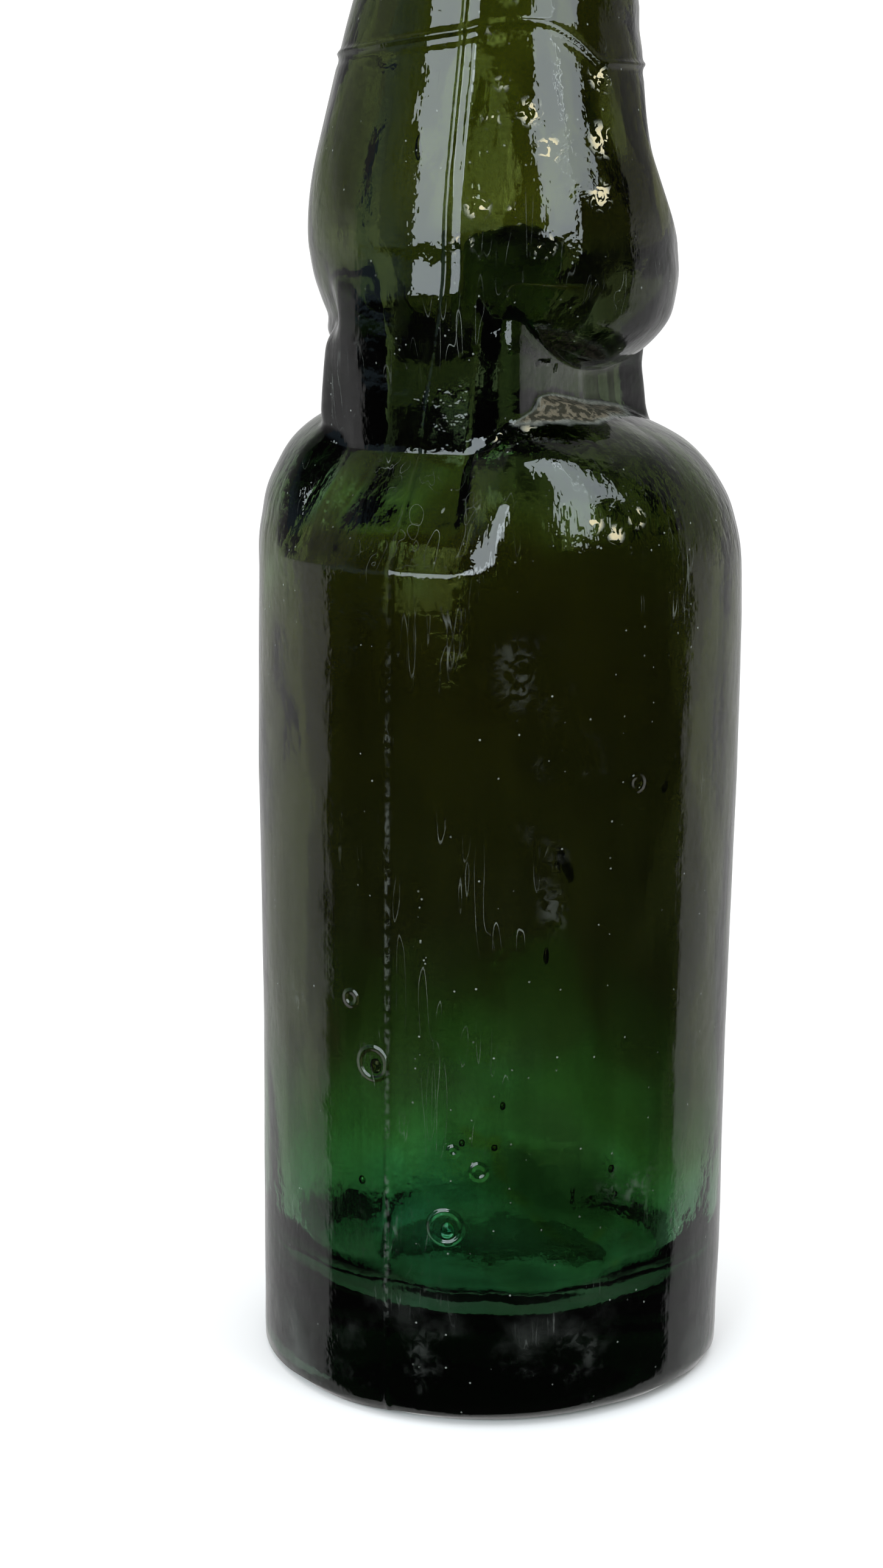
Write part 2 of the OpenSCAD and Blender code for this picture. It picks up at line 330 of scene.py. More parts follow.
def shaped_bottle(cuts, turns):
    """All points of the glass, with its lean, dents, seams and unevenness."""
    r, z = cuts[..., 0].copy(), cuts[..., 1].copy()
    t = turns[:, None] + 0 * r
    row = np.arange(ROWS)[None] + 0 * r
    outside = row < OUTSIDE_END
    x = r * np.cos(t)
    alpha = (np.degrees(t - PHOTO_TURN) + 180) % 360 - 180

    # The pocket in front was pinched a little askew.
    from_pocket = np.abs((np.degrees(t) - 270 + 180) % 360 - 180)
    pocket = outside * (1 - ease(from_pocket, 54, 60)) * ease(z, 112, 119) * (1 - ease(z, 139, 143))
    ledge = np.interp(x, (-18, -12, -5, 0, 8, 16), (1.5, 1.0, 0.2, -0.4, -0.7, -0.6))
    roof = np.interp(x, (-18, -8, 0, 8, 16), (3.0, 1.3, -0.2, -1.0, -0.6))
    shelf = np.interp(x, (-16, -10, -5, 0), (1.3, 1.1, 0.5, 0.2)) * (1 - ease(r, 18.3, 19.3)) * (z < 131)
    z += pocket * (ledge + (roof - ledge) * ease(z, 128, 134) + shelf)

    # Dents from outside hold the marble back when the bottle is tipped.
    for side in (1, -1):
        r -= outside * DENT_OUT * round_dent(t, z, side * LUG_TURN, LUG_Z - 2.0, 20, 13)
        r -= (1 - outside) * ease(r, 8, 12) * DENT_IN * round_dent(t, z, side * LUG_TURN, LUG_Z, 15, 9.5)

    left = ((1 - np.sin(np.radians(alpha))) / 2) ** 2
    right = ((1 + np.sin(np.radians(alpha))) / 2) ** 3
    strut = on_strut[:, None] * ease(z, 112, 120) * (1 - ease(z, 140, 148))
    lean = smooth_values(z, SIDE_Z, LEFT)
    lean += strut * (np.interp(z, *STRUT_LEAN) - lean)
    r += outside * (row > 6) * lean * left
    r += outside * (row > 6) * smooth_values(z, SIDE_Z, RIGHT) * right
    r += outside * ease(z, 4, 12) * ripple(t, z, 3, 26, 0.10, 3.0)
    r += (1 - outside) * ease(r, 8, 14) * ripple(t, z, 5, 40, 0.42, 2.0)

    # The halves of the mould met in an upright seam on each side, which drifts on the neck.
    for k in (0, 1):
        drift = math.radians(8.5) * ease(z, 118, 145) + math.radians(1.5) * ease(z, 145, 180)
        d = (t - SEAM - k * math.pi - drift + math.pi) % (2 * math.pi) - math.pi
        ridge = np.exp(-(d * r / 0.35) ** 2) + 0.7 * ease(z, 135, 145) * np.exp(-((d * r - 1.7) / 0.4) ** 2)
        step = ease(d * r, -0.1, 1.9) * np.exp(-np.clip(d * r / 9, 0, 3) ** 2) * (np.abs(d) < 1)
        r += outside * (row > 12) * (SEAM_RIDGE * ridge + SEAM_STEP * ease(z, 146, 164) * step)
    ring = smooth_values(alpha, RING_ALPHA, RING_Z, 4)
    bead = RING_RIDGE * np.exp(-((z - ring) / 0.35) ** 2) - 0.1 * np.exp(-((z - ring + 1.1) / 0.5) ** 2)
    r += outside * (z > 150) * bead

    return np.stack([r * np.cos(t), r * np.sin(t), z], -1)


def turn_faces(turns, rows, closed=False):
    """Faces between neighbouring cuts, all the way round, for cuts that are open or closed lines."""
    a = np.arange(turns * rows).reshape(turns, rows)
    b = np.roll(a, -1, 0)
    faces = np.stack([a, b, np.roll(b, -1, 1), np.roll(a, -1, 1)], -1)
    return (faces if closed else faces[:, :-1]).reshape(-1, 4).tolist()


def new_piece(name, points, faces):
    """A smooth mesh of points in metres, as a new object in the scene."""
    mesh = bpy.data.meshes.new(name)
    mesh.from_pydata(points.tolist(), [], faces)
    mesh.validate()
    mesh.shade_smooth()
    piece = bpy.data.objects.new(name, mesh)
    bpy.context.scene.collection.objects.link(piece)
    return piece


def turned_mesh(name, grid, bubbles=()):
    """A closed skin through upright cuts, whose first and last points lie on the axis, with its bubbles."""
    turns, rows = grid.shape[0], grid.shape[1] - 2
    points = np.concatenate([grid[:, 1:-1].reshape(-1, 3), grid[:, :1].mean(0), grid[:, -1:].mean(0)]) * MM
    start, end = turns * rows, turns * rows + 1
    t = np.arange(turns) * rows
    u = np.roll(t, -1)
    faces = turn_faces(turns, rows)
    faces += [(start, int(q), int(p)) for p, q in zip(t, u)]
    faces += [(end, int(p), int(q)) for p, q in zip(t + rows - 1, u + rows - 1)]
    for bubble, skin in bubbles:
        faces += [tuple(v + len(points) for v in face) for face in skin]
        points = np.concatenate([points, bubble * MM])
    return new_piece(name, points, faces)


def small_bubble(alpha, z, r, wide, tall, thick):
    """A closed air bubble at a turn, height and distance from the axis, with its skin facing inwards."""
    turn = PHOTO_TURN + math.radians(alpha)
    away = np.array([math.cos(turn), math.sin(turn), 0])
    along = np.array([-math.sin(turn), math.cos(turn), 0])
    around, up = 18, 13
    a = np.linspace(0, 2 * math.pi, around, endpoint=False)[None] + np.zeros((up, 1))
    b = np.linspace(-1.5, 1.5, up)[:, None]
    sideways = wide * np.cos(a) * np.cos(b) / 2
    outwards = thick * np.sin(a) * np.cos(b) / 2
    upwards = (tall * np.sin(b) + 0 * a) / 2
    points = away * r + np.array([0, 0, z]) + sideways[..., None] * along + outwards[..., None] * away
    points = points + upwards[..., None] * np.array([0, 0, 1])
    i = np.arange(up - 1)[:, None] * around + np.arange(around)[None]
    j = np.arange(up - 1)[:, None] * around + np.roll(np.arange(around), -1)[None]
    skin = np.stack([i, j, j + around, i + around], -1).reshape(-1, 4).tolist()
    for end in (np.arange(around)[::-1], (up - 1) * around + np.arange(around)):
        skin += [(int(end[0]), int(end[m]), int(end[m + 1])) for m in range(1, around - 1)]
    return points.reshape(-1, 3), skin


def bubble_in_wall(grid, alpha, z, depth, wide, tall, thick):
    """A seed at a depth under the outside of the bottle."""
    turn = PHOTO_TURN + math.radians(alpha)
    k = int(np.argmin(np.abs((TURNS - turn + math.pi) % (2 * math.pi) - math.pi)))
    outside = grid[k, SIDE_START:OUTSIDE_END]
    r = np.hypot(*outside[np.argmin(np.abs(outside[:, 2] - z)), :2]) - depth
    return small_bubble(alpha, z, r, wide, tall, thick)


# Each bubble: turn from the photograph, height, depth, width, length and thickness.
BUBBLES = (
    (-27.5, 158.0, 1.2, 0.9, 3.0, 0.7), (-28.9, 46.6, 1.2, 1.6, 2.0, 0.5), (-10.4, 25.9, 1.3, 1.8, 3.0, 0.6),
    (42.1, 81.9, 1.2, 1.2, 1.5, 0.6), (-7.1, 38.0, 0.9, 0.8, 1.0, 0.6), (0.5, 37.5, 1.1, 0.8, 0.9, 0.6),
    (2.3, 43.0, 0.8, 0.7, 1.1, 0.5), (29.5, 33.5, 1.2, 0.9, 1.1, 0.6), (30.3, 30.1, 1.0, 1.0, 0.9, 0.6),
    (-32.6, 31.2, 1.1, 1.0, 1.2, 0.6), (-14.8, 129.3, 1.0, 0.8, 1.1, 0.7), (-37.8, 119.6, 1.0, 0.9, 1.4, 0.7),
    (12.0, 62.0, 1.4, 0.7, 2.2, 0.5), (-50.0, 88.0, 1.2, 0.8, 1.5, 0.5), (160.0, 60.0, 1.4, 3.0, 4.4, 0.7),
    (120.0, 92.0, 1.2, 1.1, 1.9, 0.6), (-150.0, 40.0, 1.3, 1.4, 1.8, 0.6), (-100.0, 72.0, 1.2, 0.9, 1.2, 0.5))
glass_grid = shaped_bottle(CUTS, TURNS)
bottle = turned_mesh("blown_bottle", glass_grid, [bubble_in_wall(glass_grid, *b) for b in BUBBLES])


def thresholded(group, source, low, high):
    """A soft step on a value."""
    step = group.nodes.new("ShaderNodeMapRange")
    step.interpolation_type = "SMOOTHSTEP"
    step.inputs["From Min"].default_value = low
    step.inputs["From Max"].default_value = high
    group.links.new(source, step.inputs["Value"])
    return step.outputs[0]


def combined(group, operation, a, b):
    """Two values put together."""
    made = group.nodes.new("ShaderNodeMath")
    made.operation = operation
    for socket, value in zip(made.inputs, (a, b)):
        if isinstance(value, (int, float)):
            socket.default_value = value
        else:
            group.links.new(value, socket)
    return made.outputs[0]


def product(group, *values):
    """All the values multiplied."""
    total = values[0]
    for value in values[1:]:
        total = combined(group, "MULTIPLY", total, value)
    return total


def scaled(group, source, by, plus):
    """A value times one number, plus another."""
    return combined(group, "ADD", product(group, source, by), plus)


def laid_over(group, under, over, amount, way="MIX"):
    """One colour laid over another, or multiplied into it, by the given amount."""
    mix = group.nodes.new("ShaderNodeMix")
    mix.data_type = "RGBA"
    mix.blend_type = way
    group.links.new(amount, mix.inputs["Factor"])
    for socket, colour in ((mix.inputs["A"], under), (mix.inputs["B"], over)):
        if isinstance(colour, tuple):
            socket.default_value = (*colour, 1)
        else:
            group.links.new(colour, socket)
    return mix.outputs["Result"]


def one_axis(group, where, axis):
    """One of the three parts of a place or direction."""
    parts = group.nodes.new("ShaderNodeSeparateXYZ")
    group.links.new(where, parts.inputs[0])
    return parts.outputs[axis]


def seen_along(group, where, way):
    """How far a place or direction reaches along the given way."""
    dot = group.nodes.new("ShaderNodeVectorMath")
    dot.operation = "DOT_PRODUCT"
    dot.inputs[1].default_value = way
    group.links.new(where, dot.inputs[0])
    return dot.outputs["Value"]


def cloudy(group, where, scale, detail):
    """Soft clouds that many of this glass's marks are made from."""
    clouds = group.nodes.new("ShaderNodeTexNoise")
    clouds.inputs["Scale"].default_value = scale
    clouds.inputs["Detail"].default_value = detail
    group.links.new(where, clouds.inputs["Vector"])
    return clouds


def drawn_out(group, where, length, turned=(0, 0, 0)):
    """A place pressed together upright, so that clouds there come out long."""
    way = group.nodes.new("ShaderNodeMapping")
    way.inputs["Rotation"].default_value = turned
    way.inputs["Scale"].default_value = (1, 1, length)
    group.links.new(where, way.inputs["Vector"])
    return way.outputs[0]


def off_place(group, where, alpha, z, r):
    """Distance from a place given by turn from the photograph, height and distance from the axis."""
    turn = PHOTO_TURN + math.radians(alpha)
    away = group.nodes.new("ShaderNodeVectorMath")
    away.operation = "DISTANCE"
    away.inputs[1].default_value = (r * MM * math.cos(turn), r * MM * math.sin(turn), z * MM)
    group.links.new(where, away.inputs[0])
    return away.outputs["Value"]


def near_places(group, where, places):
    """A mask round places on the glass: turn from the photograph, height, distance from the axis, size."""
    total = None
    for alpha, z, r, size in places:
        near = thresholded(group, off_place(group, where, alpha, z, r), size * MM, size * MM * 0.4)
        total = near if total is None else combined(group, "MAXIMUM", total, near)
    return total


def bumped(tree, height, depth):
    """Puts a bump of a depth in millimetres on a material."""
    bump = tree.nodes.new("ShaderNodeBump")
    bump.inputs["Distance"].default_value = depth * MM
    tree.links.new(height, bump.inputs["Height"])
    tree.links.new(bump.outputs["Normal"], tree.nodes["Principled BSDF"].inputs["Normal"])


# Colours at these heights: the glass's own tint, with painted light and shade making the foot of the body
# light green and the rest of the body dark brown. Then the places where it is teal, where a painted glow
# brightens it, or where it is amber.
# Each place: turn from the photograph, height, distance from the axis, size.
ZONES = (
    (0, 0.40, 0.80, 0.60), (10, 0.25, 0.54, 0.38), (16, 0.48, 1.0, 0.68), (24, 0.49, 1.0, 0.65),
    (30, 0.41, 0.84, 0.42), (39, 0.29, 0.50, 0.20), (50, 0.26, 0.265, 0.13), (90, 0.265, 0.245, 0.07),
    (107, 0.30, 0.29, 0.08), (114, 0.40, 0.46, 0.18), (121, 0.38, 0.43, 0.22), (126, 0.36, 0.40, 0.25),
    (140, 0.32, 0.34, 0.14), (150, 0.38, 0.39, 0.11))
ZONES_TOP = 200
TEAL = ((-18, 24, 31, 9), (-8, 30, 31, 8), (-12, 18, 31, 8), (-30, 30, 31, 7))
PAINTED_GLOW = ((-75, 113, 27, 15), (-50, 114, 27, 15), (-28, 113, 28, 12), (-14, 111, 30, 7))
AMBER = ((8, 38, 31, 3), (12, 33, 31, 3.4), (17, 28, 31, 3.6), (22, 22, 31, 3), (-45, 34, 31, 3),
         (-35, 37, 31, 3), (-24, 40, 31, 3), (35, 30, 31, 5))
SWIRL = 0.05


def colour_zones():
    """Tint of the glass with painted light and shade: yellow at the neck, dark brown on the body above a
    light green foot, in slow swirls, with painted shade on the right of the chamber and a painted glow on the
    left shoulder.
    """
    group = bpy.data.node_groups.new("tint_with_painted_light", "ShaderNodeTree")
    group.interface.new_socket("Tint", in_out="OUTPUT", socket_type="NodeSocketColor")
    out = group.nodes.new("NodeGroupOutput")
    where = group.nodes.new("ShaderNodeTexCoord").outputs["Object"]
    swirl = cloudy(group, where, 38, 2)
    swirl.inputs["Distortion"].default_value = 0.8
    centred = group.nodes.new("ShaderNodeVectorMath")
    centred.operation = "MULTIPLY_ADD"
    centred.inputs[1].default_value = (SWIRL, SWIRL, SWIRL)
    centred.inputs[2].default_value = (-SWIRL / 2, -SWIRL / 2, -SWIRL / 2)
    group.links.new(swirl.outputs["Color"], centred.inputs[0])
    shifted = group.nodes.new("ShaderNodeVectorMath")
    shifted.operation = "ADD"
    group.links.new(where, shifted.inputs[0])
    group.links.new(centred.outputs[0], shifted.inputs[1])
    moved = shifted.outputs[0]
    height = one_axis(group, moved, "Z")
    # The ramp gives the tint by height, with painted light and shade on the body.
    zones = group.nodes.new("ShaderNodeValToRGB")
    ramp = zones.color_ramp
    while len(ramp.elements) < len(ZONES):
        ramp.elements.new(0.5)
    for stop, (place, *colour) in zip(ramp.elements, ZONES):
        stop.position = place / ZONES_TOP
        stop.color = (*colour, 1)
    group.links.new(combined(group, "DIVIDE", height, ZONES_TOP * MM), zones.inputs[0])
    # Painted shade: the right part of the chamber is tinted darker.
    across = seen_along(group, moved, (-math.sin(PHOTO_TURN), math.cos(PHOTO_TURN), 0))
    right_chamber_shade = product(group, thresholded(group, across, 0.002, 0.013), 0.9)
    chamber = thresholded(group, height, 0.128, 0.140)
    tint = laid_over(group, zones.outputs["Color"], (0.45, 0.42, 0.42),
                     product(group, right_chamber_shade, chamber), "MULTIPLY")
    drawn = drawn_out(group, where, 0.03)
    body = thresholded(group, height, 0.122, 0.108)
    for way, scale, low, high, depth in ((drawn, 170, 0.62, 0.42, 0.13), (drawn, 520, 0.56, 0.46, 0.10),
                                         (moved, 42, 0.60, 0.40, 0.18)):
        cloud = thresholded(group, cloudy(group, way, scale, 3).outputs["Fac"], low, high)
        darker = (1 - depth, 1 - depth, 1 - 1.3 * depth)
        tint = laid_over(group, tint, darker, product(group, cloud, body), "MULTIPLY")
    # Painted glow: the left shoulder's tint is brightened as if light shone through it; teal and amber are
    # the glass's own colours.
    for places, colour in ((PAINTED_GLOW, (1.7, 2.3, 3.0)), (TEAL, (0.85, 1.05, 1.3)), (AMBER, (1.35, 0.90, 0.45))):
        tint = laid_over(group, tint, colour, near_places(group, moved, places), "MULTIPLY")
    group.links.new(tint, out.inputs["Tint"])
    return group


def new_material(name):
    """A new material with its nodes and its shader."""
    finish = bpy.data.materials.new(name)
    finish.use_nodes = True
    return finish, finish.node_tree, finish.node_tree.nodes["Principled BSDF"]


def glass_material(name, tint, depth_colour, density):
    """Solid glass: a tint at the skin, and colour that deepens with the thickness."""
    glass, tree, bsdf = new_material(name)
    bsdf.inputs["Base Color"].default_value = (*tint, 1)
    bsdf.inputs["IOR"].default_value = 1.52
    bsdf.inputs["Transmission Weight"].default_value = 1.0
    inside = tree.nodes.new("ShaderNodeVolumeAbsorption")
    inside.inputs["Color"].default_value = (*depth_colour, 1)
    inside.inputs["Density"].default_value = density
    tree.links.new(inside.outputs["Volume"], tree.nodes["Material Output"].inputs["Volume"])
    return glass


# Each blister is a low round swelling: turn from the photograph, height and radius.
BLISTERS = ((-28.9, 47.1, 2.0), (-10.6, 26.9, 2.1), (-35.0, 55.0, 0.9), (-9.0, 37.0, 0.5), (-3.0, 34.5, 0.9),
            (33.0, 83.0, 0.9))
BLISTER_RIM, BLISTER_HEIGHT = 0.5, 1.3


def hammered():
    """Skin of blown glass: orange peel, patches of fine pits, upright drag lines, and how dull it is."""
    group = bpy.data.node_groups.new("hammered_skin", "ShaderNodeTree")
    group.interface.new_socket("Height", in_out="OUTPUT", socket_type="NodeSocketFloat")
    group.interface.new_socket("Roughness", in_out="OUTPUT", socket_type="NodeSocketFloat")
    out = group.nodes.new("NodeGroupOutput")
    where = group.nodes.new("ShaderNodeTexCoord").outputs["Object"]
    peel = cloudy(group, where, 260, 3).outputs["Fac"]
    pits = cloudy(group, where, 950, 2).outputs["Fac"]
    drag = cloudy(group, drawn_out(group, where, 0.06), 500, 3).outputs["Fac"]
    rough_patch = thresholded(group, cloudy(group, where, 60, 2).outputs["Fac"], 0.42, 0.66)
    height = one_axis(group, where, "Z")
    shoulder = product(group, thresholded(group, height, 0.107, 0.112),
                       thresholded(group, height, 0.119, 0.115))
    drag = product(group, drag, scaled(group, shoulder, 0.8, 0.4))
    pits = product(group, pits, product(group, rough_patch, 0.5))
    total = combined(group, "ADD", combined(group, "ADD", peel, drag), pits)
    total = product(group, total, scaled(group, thresholded(group, height, 0.100, 0.112), 0.4, 0.6))
    for alpha, z, size in BLISTERS:
        from_middle = off_place(group, where, alpha, z, BODY_R)
        off_edge = combined(group, "ABSOLUTE", combined(group, "SUBTRACT", from_middle, size * MM), 0)
        rim = thresholded(group, off_edge, BLISTER_RIM * MM, 0.0)
        total = combined(group, "ADD", total, product(group, rim, BLISTER_HEIGHT))
    group.links.new(total, out.inputs["Height"])
    group.links.new(scaled(group, rough_patch, 0.03, 0.015), out.inputs["Roughness"])
    return group


SKIN_DEPTH = 0.15
bottle_glass = glass_material("bottle_glass", (1, 1, 1), (0.475, 0.575, 0.475), 200)
tree = bottle_glass.node_tree
bsdf = tree.nodes["Principled BSDF"]
zones = tree.nodes.new("ShaderNodeGroup")
zones.node_tree = colour_zones()
tree.links.new(zones.outputs["Tint"], bsdf.inputs["Base Color"])
skin = tree.nodes.new("ShaderNodeGroup")
skin.node_tree = hammered()
bumped(tree, skin.outputs["Height"], SKIN_DEPTH)
tree.links.new(skin.outputs["Roughness"], bsdf.inputs["Roughness"])
bottle.data.materials.append(bottle_glass)
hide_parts("bottle")
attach(bottle, "glass")


# Lime, dust and the fine scratches of long use lie on the glass, thickest on the pinched ledges and round the
# heel. They are carried by a film that stands a little off the outside, and is clear where nothing lies.
# The film also carries painted cream glints.
DUST_LIFT = 0.03
DUST_FIRST_ROW = 8


def dust_mesh():
    """A thin skin just off the outside of the bottle, to carry what lies on the glass and the painted glints.
    """
    turns, rows = len(TURNS), ROWS - 2
    places = np.empty(len(bottle.data.vertices) * 3)
    normals = np.empty(len(bottle.data.vertices) * 3)
    bottle.data.vertices.foreach_get("co", places)
    bottle.data.vertices.foreach_get("normal", normals)
    lifted = (places + normals * DUST_LIFT * MM).reshape(-1, 3)[:turns * rows].reshape(turns, rows, 3)
    film = lifted[:, DUST_FIRST_ROW:OUTSIDE_END - 1]
    return new_piece("dust_scratches_and_glints", film.reshape(-1, 3), turn_faces(turns, film.shape[1]))


def specks_and_scratches():
    """Masks of white specks, of fine scratches and of blotchy grime."""
    group = bpy.data.node_groups.new("specks_and_scratches", "ShaderNodeTree")
    for name in ("Specks", "Scratches", "Grime"):
        group.interface.new_socket(name, in_out="OUTPUT", socket_type="NodeSocketFloat")
    out = group.nodes.new("NodeGroupOutput")
    where = group.nodes.new("ShaderNodeTexCoord").outputs["Object"]
    cells = group.nodes.new("ShaderNodeTexVoronoi")
    cells.inputs["Scale"].default_value = 800
    group.links.new(where, cells.inputs["Vector"])
    blotches = cloudy(group, where, 55, 5)
    blotches.inputs["Roughness"].default_value = 0.65
    blotch = blotches.outputs["Fac"]
    chance = group.nodes.new("ShaderNodeSeparateColor")
    group.links.new(cells.outputs["Color"], chance.inputs[0])
    near = thresholded(group, cells.outputs["Distance"], 0.15, 0.04)
    luck = combined(group, "ADD", chance.outputs[0], product(group, blotch, 0.5))
    group.links.new(product(group, near, thresholded(group, luck, 1.03, 1.2)), out.inputs["Specks"])
    lines = []
    for k, (turn, lean, width) in enumerate(((0.3, 0.5, 0.006), (1.4, -0.9, 0.005), (2.6, 0.2, 0.005))):
        long = drawn_out(group, where, 0.12, (lean, turn, k))
        clouds = cloudy(group, long, 330 + 60 * k, 1).outputs["Fac"]
        off = combined(group, "ABSOLUTE", combined(group, "SUBTRACT", clouds, 0.62), 0)
        lines.append(thresholded(group, off, width, width * 0.3))
    both = combined(group, "MAXIMUM", combined(group, "MAXIMUM", lines[0], lines[1]), lines[2])
    worn = thresholded(group, blotch, 0.54, 0.70)
    group.links.new(product(group, both, worn), out.inputs["Scratches"])
    group.links.new(blotch, out.inputs["Grime"])
    return group


dust = dust_mesh()
lime_dust_and_glints, tree, bsdf = new_material("lime_dust_and_glints")
bsdf.inputs["Specular IOR Level"].default_value = 0.2
marks = tree.nodes.new("ShaderNodeGroup")
marks.node_tree = specks_and_scratches()
specks, scratches, grime = marks.outputs
coords = tree.nodes.new("ShaderNodeTexCoord")
where = coords.outputs["Object"]
height = one_axis(tree, where, "Z")
mottle = cloudy(tree, where, 1100, 3).outputs["Fac"]
curls = cloudy(tree, where, 750, 2)
curls.inputs["Distortion"].default_value = 1.2
curled = curls.outputs["Fac"]

# Brown grey lime lies on the level floor of each pocket.
level = thresholded(tree, one_axis(tree, coords.outputs["Normal"], "Z"), 0.3, 0.7)
pinched = thresholded(tree, combined(tree, "ABSOLUTE", one_axis(tree, where, "Y"), 0), 0.0105, 0.013)
uneven = product(tree, combined(tree, "SUBTRACT", grime, 0.5), 0.004)
above = thresholded(tree, combined(tree, "ADD", height, uneven), 0.1258, 0.1266)
under = thresholded(tree, height, 0.131, 0.129)
ledge = product(tree, level, pinched, above, under)
ledge_grime = product(tree, ledge, thresholded(tree, grime, 0.25, 0.5))

# Painted cream glints, where warm light glances off small pits and seeds, and grey scuffs: turn from the
# photograph, height, distance from the axis, size.
CREAM_GLINTS = (
    (-1.5, 165.2, 19.4, 1.7), (-4.5, 161.1, 20.6, 1.8), (-7.7, 151.4, 23.0, 2.0), (3.8, 150.6, 23.0, 1.5),
    (8.2, 162.1, 20.3, 2.2), (36.2, 166.3, 18.8, 2.2), (33.8, 159.2, 20.8, 2.6), (30.6, 152.8, 22.4, 2.2),
    (-6.8, 171.5, 18.0, 1.5), (8.3, 124.4, 22.3, 1.9), (-0.4, 124.1, 22.3, 1.5), (1.5, 121.5, 24.4, 1.7),
    (21.8, 114.8, 29.8, 1.6), (33.3, 115.2, 29.7, 1.6), (27.1, 113.4, 30.3, 1.4), (-66, 121, 22.5, 2.4),
    (-60, 119, 24.0, 1.8), (14, 158.0, 21.5, 2.2), (-12, 147.0, 23.3, 1.8), (12, 147.0, 23.3, 1.8))
cream_glints = product(tree, near_places(tree, where, CREAM_GLINTS), thresholded(tree, curled, 0.535, 0.575))
SCUFFS = (
    (-15, 8.4, 31, 6), (7, 4.9, 31, 6), (33, 5.4, 31, 6), (-30, 3, 31, 5), (20, 9, 31, 5), (12, 84, 31, 9),
    (22, 70, 31, 8), (8, 97, 31, 6), (34, 33, 31, 6), (-52, 55, 31, 7), (150, 50, 31, 9), (-130, 80, 31, 9))
scuffs = product(tree, near_places(tree, where, SCUFFS), thresholded(tree, grime, 0.46, 0.66),
                 thresholded(tree, curled, 0.44, 0.6))

# The mould seam is rubbed pale along the body, and grime sits round the heel.
from_seam = combined(tree, "ABSOLUTE", seen_along(tree, where, (-math.sin(SEAM), math.cos(SEAM), 0)), 0)
rubbed = product(tree, thresholded(tree, from_seam, 0.0005, 0.00015), thresholded(tree, height, 0.112, 0.100),
                 thresholded(tree, mottle, 0.42, 0.6), thresholded(tree, grime, 0.44, 0.60))
heel_grime = product(tree, thresholded(tree, height, 0.022, 0.004), thresholded(tree, grime, 0.48, 0.75))
haze = thresholded(tree, grime, 0.5, 0.8)
cover = 0.0
for mark, strength in ((specks, 0.5), (scratches, 0.3), (haze, 0.002), (heel_grime, 0.12),
                       (ledge_grime, 0.95), (cream_glints, 0.8), (scuffs, 0.16), (rubbed, 0.11)):
    cover = combined(tree, "MAXIMUM", cover, product(tree, mark, strength))
tree.links.new(cover, bsdf.inputs["Alpha"])
tone = laid_over(tree, (0.30, 0.33, 0.30), (0.085, 0.074, 0.050), ledge)
dark_spots = product(tree, thresholded(tree, mottle, 0.56, 0.46), ledge)
tone = laid_over(tree, tone, (0.22, 0.24, 0.20), dark_spots, "MULTIPLY")
# The painted glints are given a cream colour.
tone = laid_over(tree, tone, (0.42, 0.36, 0.22), cream_glints)
tree.links.new(tone, bsdf.inputs["Base Color"])
bumped(tree, mottle, 0.4)
tree.links.new(scaled(tree, mottle, 0.2, 0.75), bsdf.inputs["Roughness"])
dust.data.materials.append(lime_dust_and_glints)
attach(dust, "glass")


# The lip is a collar of the same glass, laid hot round the cut neck and turned with a tool that shaped it
# inside and out. The tool left fine lines round it and, inside, the groove that holds the rubber ring.
LIP_R = 14.6
LIP_FOOT_R, LIP_TOP_R, MOUTH_R = 2.5, 3.8, 2.4
BORE_R = 6.9
GROOVE_R, GROOVE_Z, GROOVE_TOP = 10.7, 204.486, 209.886
LIP_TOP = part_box("applied_lip")[1].z / MM
LIP_FOOT = NECK_TOP + 0.02


def closed_cut(corners, count, reach):
    """A closed cut through a ring as evenly spread points, with soft corners."""
    corners = np.array(corners + corners[:1])
    s = np.concatenate([[0], np.cumsum(np.hypot(*np.diff(corners, axis=0).T))])
    at = np.linspace(0, s[-1], count, endpoint=False)
    cut = np.stack([np.interp(at, s, corners[:, 0]), np.interp(at, s, corners[:, 1])], 1)
    away = np.minimum(at, s[-1] - at)
    kernel = np.exp(-0.5 * (away / reach) ** 2)
    kernel = np.fft.fft(kernel / kernel.sum())[:, None]
    return np.real(np.fft.ifft(np.fft.fft(cut, axis=0) * kernel, axis=0))


def ring_mesh(name, r, z, turns):
    """A closed skin through closed cuts that stand all the way round a ring."""
    grid = np.stack([r * np.cos(turns), r * np.sin(turns), z], -1)
    return new_piece(name, grid.reshape(-1, 3) * MM, turn_faces(*r.shape, closed=True))


neck_r = flare(0, NECK_TOP, NECK_TOP, 1)[0, 0]
neck_in = flare(WALL_NECK, NECK_TOP, NECK_TOP, 1)[0, 0]
lip_cut = closed_cut(
    [(neck_in, LIP_FOOT), (neck_r, LIP_FOOT)]
    + arc(LIP_R - LIP_FOOT_R, NECK_TOP + LIP_FOOT_R, LIP_FOOT_R, -1.0, 0, 8).tolist()
    + arc(LIP_R - LIP_TOP_R, LIP_TOP - LIP_TOP_R, LIP_TOP_R, 0, math.pi / 2, 12).tolist()
    + arc(BORE_R + MOUTH_R, LIP_TOP - MOUTH_R, MOUTH_R, math.pi / 2, math.pi, 9).tolist()
    + [(BORE_R, GROOVE_TOP), (GROOVE_R, GROOVE_TOP), (GROOVE_R, GROOVE_Z), (neck_in, GROOVE_Z)], 170, 0.16)
turns = np.linspace(0, 2 * math.pi, 168, endpoint=False)[:, None]
r, z = lip_cut[None, :, 0] + 0 * turns, lip_cut[None, :, 1] + 0 * turns
worked = ease(r, 11.5, 13.5) * ease(z, 203, 205)
